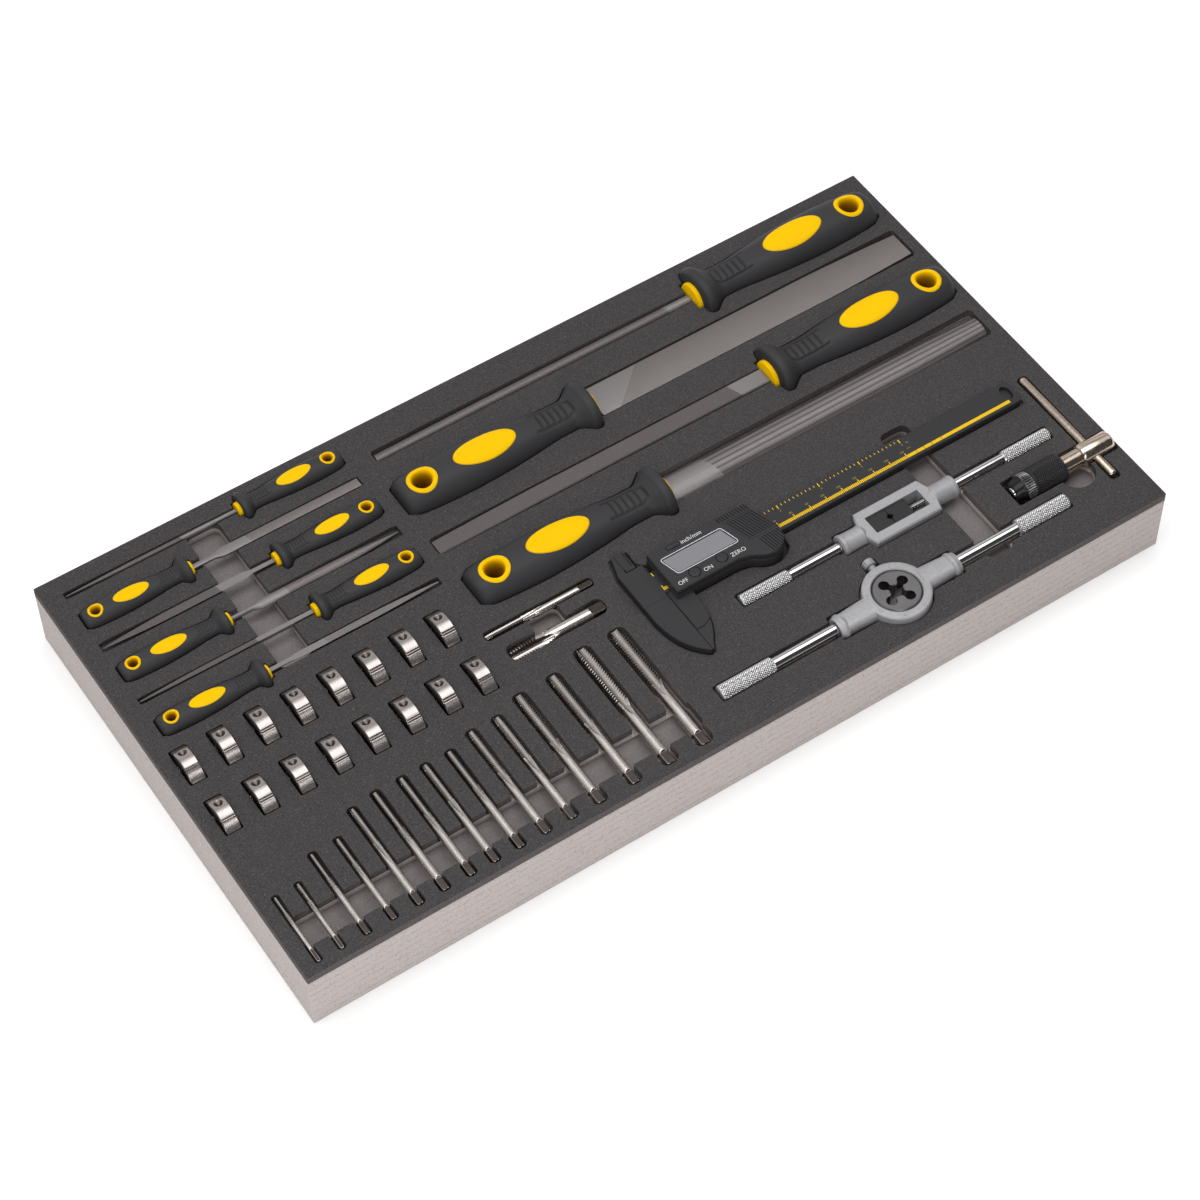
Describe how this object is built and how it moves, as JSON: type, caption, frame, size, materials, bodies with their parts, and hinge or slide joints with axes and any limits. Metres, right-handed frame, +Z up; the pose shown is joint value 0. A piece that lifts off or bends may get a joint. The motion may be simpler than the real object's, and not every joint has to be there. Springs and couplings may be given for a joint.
{
  "type": "tap and die tool tray",
  "caption": "Two-tone foam drawer insert whose cut pockets hold taps, dies, hand files, needle files, a digital caliper and tap and die wrenches that lift out.",
  "frame": {"origin": "middle of the tray's underside", "axes": "+X along the long side towards the caliper's beam end, +Y towards the large files, +Z up"},
  "size_m": [0.505, 0.268, 0.0527],
  "materials": {
    "dark_foam": "charcoal closed-cell foam with fine pale specks",
    "pale_foam": "pale warm grey laminated foam",
    "grip_rubber": "charcoal soft-touch grip with bright yellow inserts",
    "file_steel": "dull grey cut file steel",
    "bright_steel": "ground bright tool steel",
    "chrome": "polished chrome with knurled grips",
    "silver_paint": "satin silver cast finish",
    "nickel_steel": "warm nickel-plated steel",
    "black_steel": "black oxide steel",
    "black_plastic": "satin black composite with yellow scale",
    "display_grey": "grey liquid crystal display under clear cover"
  },
  "bodies": {
    "foam_tray": {"foam_base_slab": "pale_foam", "foam_pocket_layer": "pale_foam", "foam_top_sheet": "dark_foam", "dies_back_row": "bright_steel", "dies_front_row": "bright_steel"},
    "caliper": {"caliper_beam_and_fixed_jaw": "black_plastic"},
    "caliper_slider": {"caliper_slider_and_moving_jaw": "black_plastic", "caliper_housing": "black_plastic", "caliper_display_window": "display_grey", "caliper_depth_rod": "bright_steel", "caliper_cell": "bright_steel"},
    "caliper_unit_button": {"caliper_unit_button": "black_plastic"},
    "caliper_off_button": {"caliper_off_button": "black_plastic"},
    "caliper_on_zero_button": {"caliper_on_zero_button": "black_plastic"},
    "caliper_battery_cover": {"caliper_battery_cover": "black_plastic"},
    "tap_wrench": {"tap_wrench_frame": "silver_paint", "tap_wrench_fixed_handle": "chrome", "tap_wrench_fixed_jaw": "black_steel"},
    "tap_wrench_turning_handle": {"tap_wrench_turning_handle": "chrome"},
    "tap_wrench_moving_jaw": {"tap_wrench_moving_jaw": "black_steel"},
    "die_stock": {"die_stock_ring_and_arms": "silver_paint", "die_stock_left_handle": "chrome", "die_stock_right_handle": "chrome"},
    "die_stock_clamp_screw": {"die_stock_clamp_screw": "silver_paint"},
    "die_in_stock": {"die_in_stock": "black_steel"},
    "tee_wrench": {"tee_wrench_head_and_spindle": "nickel_steel"},
    "tee_wrench_tommy_bar": {"tee_wrench_tommy_bar": "nickel_steel"},
    "tee_wrench_chuck_sleeve": {"tee_wrench_chuck_sleeve": "black_steel"},
    "tee_wrench_chuck_jaws": {"tee_wrench_chuck_jaws": "chrome"},
    "round_file": {"round_file_handle": "grip_rubber", "round_file_blade": "file_steel"},
    "flat_file": {"flat_file_handle": "grip_rubber", "flat_file_blade": "file_steel"},
    "square_file": {"square_file_handle": "grip_rubber", "square_file_blade": "file_steel"},
    "half_round_file": {"half_round_file_handle": "grip_rubber", "half_round_file_blade": "file_steel"},
    "needle_file_triangular": {"needle_file_triangular": "grip_rubber"},
    "needle_file_square": {"needle_file_square": "grip_rubber"},
    "needle_file_half_round": {"needle_file_half_round": "grip_rubber"},
    "needle_file_knife": {"needle_file_knife": "grip_rubber"},
    "needle_file_flat": {"needle_file_flat": "grip_rubber"},
    "needle_file_round": {"needle_file_round": "grip_rubber"},
    "tap_01": {"tap_01": "bright_steel"},
    "tap_02": {"tap_02": "bright_steel"},
    "tap_03": {"tap_03": "bright_steel"},
    "tap_04": {"tap_04": "bright_steel"},
    "tap_05": {"tap_05": "bright_steel"},
    "tap_06": {"tap_06": "bright_steel"},
    "tap_07": {"tap_07": "bright_steel"},
    "tap_08": {"tap_08": "bright_steel"},
    "tap_09": {"tap_09": "bright_steel"},
    "tap_10": {"tap_10": "bright_steel"},
    "tap_11": {"tap_11": "bright_steel"},
    "tap_12": {"tap_12": "bright_steel"},
    "tap_13": {"tap_13": "bright_steel"},
    "tap_14": {"tap_14": "bright_steel"},
    "tap_15": {"tap_15": "bright_steel"},
    "tap_16": {"tap_16": "bright_steel"},
    "tap_17": {"tap_17": "bright_steel"}
  },
  "joints": [
    {"name": "caliper_slide", "type": "slide", "parent": "caliper", "child": "caliper_slider", "axis": [1, 0, 0], "range_m": [0, 0.15]},
    {"name": "caliper_unit_button_press", "type": "slide", "parent": "caliper_slider", "child": "caliper_unit_button", "axis": [0, 0, -1], "range_m": [0, 0.0006], "stiffness_N_per_m": 400},
    {"name": "caliper_off_button_press", "type": "slide", "parent": "caliper_slider", "child": "caliper_off_button", "axis": [0, 0, -1], "range_m": [0, 0.0006], "stiffness_N_per_m": 400},
    {"name": "caliper_on_zero_button_press", "type": "slide", "parent": "caliper_slider", "child": "caliper_on_zero_button", "axis": [0, 0, -1], "range_m": [0, 0.0006], "stiffness_N_per_m": 400},
    {"name": "caliper_battery_cover_slide", "type": "slide", "parent": "caliper_slider", "child": "caliper_battery_cover", "axis": [1, 0, 0], "range_m": [0, 0.006]},
    {"name": "tap_wrench_handle_turn", "type": "hinge", "parent": "tap_wrench", "child": "tap_wrench_turning_handle", "pos_m": [0.19, -0.0686, 0.0395], "axis": [1, 0, 0], "range_deg": [0, 1440]},
    {"name": "tap_wrench_jaw_slide", "type": "slide", "parent": "tap_wrench", "child": "tap_wrench_moving_jaw", "axis": [1, 0, 0], "range_m": [0, 0.008]},
    {"name": "die_stock_clamp_screw_turn", "type": "hinge", "parent": "die_stock", "child": "die_stock_clamp_screw", "pos_m": [0.1012, -0.088, 0.04], "axis": [0, 1, 0], "range_deg": [0, 720]},
    {"name": "die_stock_die_lift_out", "type": "slide", "parent": "die_stock", "child": "die_in_stock", "axis": [0, 0, 1], "range_m": [0, 0.03]},
    {"name": "tee_wrench_tommy_bar_slide", "type": "slide", "parent": "tee_wrench", "child": "tee_wrench_tommy_bar", "axis": [0, -1, 0], "range_m": [0, 0.05]},
    {"name": "tee_wrench_chuck_turn", "type": "hinge", "parent": "tee_wrench", "child": "tee_wrench_chuck_sleeve", "pos_m": [0.205, -0.09, 0.04], "axis": [1, 0, 0], "range_deg": [0, 720]},
    {"name": "tee_wrench_jaws_draw_in", "type": "slide", "parent": "tee_wrench", "child": "tee_wrench_chuck_jaws", "axis": [1, 0, 0], "range_m": [0, 0.002]},
    {"name": "caliper_lift", "type": "slide", "parent": "foam_tray", "child": "caliper", "axis": [0, 0, 1], "range_m": [0, 0.25]},
    {"name": "tap_wrench_lift", "type": "slide", "parent": "foam_tray", "child": "tap_wrench", "axis": [0, 0, 1], "range_m": [0, 0.1]},
    {"name": "die_stock_lift", "type": "slide", "parent": "foam_tray", "child": "die_stock", "axis": [0, 0, 1], "range_m": [0, 0.1]},
    {"name": "tee_wrench_lift", "type": "slide", "parent": "foam_tray", "child": "tee_wrench", "axis": [0, 0, 1], "range_m": [0, 0.1]},
    {"name": "round_file_lift", "type": "slide", "parent": "foam_tray", "child": "round_file", "axis": [0, 0, 1], "range_m": [0, 0.1]},
    {"name": "flat_file_lift", "type": "slide", "parent": "foam_tray", "child": "flat_file", "axis": [0, 0, 1], "range_m": [0, 0.1]},
    {"name": "square_file_lift", "type": "slide", "parent": "foam_tray", "child": "square_file", "axis": [0, 0, 1], "range_m": [0, 0.1]},
    {"name": "half_round_file_lift", "type": "slide", "parent": "foam_tray", "child": "half_round_file", "axis": [0, 0, 1], "range_m": [0, 0.1]},
    {"name": "needle_file_triangular_lift", "type": "slide", "parent": "foam_tray", "child": "needle_file_triangular", "axis": [0, 0, 1], "range_m": [0, 0.08]},
    {"name": "needle_file_square_lift", "type": "slide", "parent": "foam_tray", "child": "needle_file_square", "axis": [0, 0, 1], "range_m": [0, 0.08]},
    {"name": "needle_file_half_round_lift", "type": "slide", "parent": "foam_tray", "child": "needle_file_half_round", "axis": [0, 0, 1], "range_m": [0, 0.08]},
    {"name": "needle_file_knife_lift", "type": "slide", "parent": "foam_tray", "child": "needle_file_knife", "axis": [0, 0, 1], "range_m": [0, 0.08]},
    {"name": "needle_file_flat_lift", "type": "slide", "parent": "foam_tray", "child": "needle_file_flat", "axis": [0, 0, 1], "range_m": [0, 0.08]},
    {"name": "needle_file_round_lift", "type": "slide", "parent": "foam_tray", "child": "needle_file_round", "axis": [0, 0, 1], "range_m": [0, 0.08]},
    {"name": "tap_01_lift", "type": "slide", "parent": "foam_tray", "child": "tap_01", "axis": [0, 0, 1], "range_m": [0, 0.06]},
    {"name": "tap_02_lift", "type": "slide", "parent": "foam_tray", "child": "tap_02", "axis": [0, 0, 1], "range_m": [0, 0.06]},
    {"name": "tap_03_lift", "type": "slide", "parent": "foam_tray", "child": "tap_03", "axis": [0, 0, 1], "range_m": [0, 0.06]},
    {"name": "tap_04_lift", "type": "slide", "parent": "foam_tray", "child": "tap_04", "axis": [0, 0, 1], "range_m": [0, 0.06]},
    {"name": "tap_05_lift", "type": "slide", "parent": "foam_tray", "child": "tap_05", "axis": [0, 0, 1], "range_m": [0, 0.06]},
    {"name": "tap_06_lift", "type": "slide", "parent": "foam_tray", "child": "tap_06", "axis": [0, 0, 1], "range_m": [0, 0.06]},
    {"name": "tap_07_lift", "type": "slide", "parent": "foam_tray", "child": "tap_07", "axis": [0, 0, 1], "range_m": [0, 0.06]},
    {"name": "tap_08_lift", "type": "slide", "parent": "foam_tray", "child": "tap_08", "axis": [0, 0, 1], "range_m": [0, 0.06]},
    {"name": "tap_09_lift", "type": "slide", "parent": "foam_tray", "child": "tap_09", "axis": [0, 0, 1], "range_m": [0, 0.06]},
    {"name": "tap_10_lift", "type": "slide", "parent": "foam_tray", "child": "tap_10", "axis": [0, 0, 1], "range_m": [0, 0.06]},
    {"name": "tap_11_lift", "type": "slide", "parent": "foam_tray", "child": "tap_11", "axis": [0, 0, 1], "range_m": [0, 0.06]},
    {"name": "tap_12_lift", "type": "slide", "parent": "foam_tray", "child": "tap_12", "axis": [0, 0, 1], "range_m": [0, 0.06]},
    {"name": "tap_13_lift", "type": "slide", "parent": "foam_tray", "child": "tap_13", "axis": [0, 0, 1], "range_m": [0, 0.06]},
    {"name": "tap_14_lift", "type": "slide", "parent": "foam_tray", "child": "tap_14", "axis": [0, 0, 1], "range_m": [0, 0.06]},
    {"name": "tap_15_lift", "type": "slide", "parent": "foam_tray", "child": "tap_15", "axis": [0, 0, 1], "range_m": [0, 0.06]},
    {"name": "tap_16_lift", "type": "slide", "parent": "foam_tray", "child": "tap_16", "axis": [0, 0, 1], "range_m": [0, 0.06]},
    {"name": "tap_17_lift", "type": "slide", "parent": "foam_tray", "child": "tap_17", "axis": [0, 0, 1], "range_m": [0, 0.06]}
  ],
  "couplings": [
    {"joint": "caliper_slide", "follows": "caliper_lift", "ratio": 0.6},
    {"joint": "tap_wrench_jaw_slide", "follows": "tap_wrench_handle_turn", "m_per_rad": 0.00031831},
    {"joint": "tee_wrench_tommy_bar_slide", "follows": "tee_wrench_lift", "ratio": 0.5},
    {"joint": "tee_wrench_jaws_draw_in", "follows": "tee_wrench_chuck_turn", "m_per_rad": 0.00015915}
  ]
}
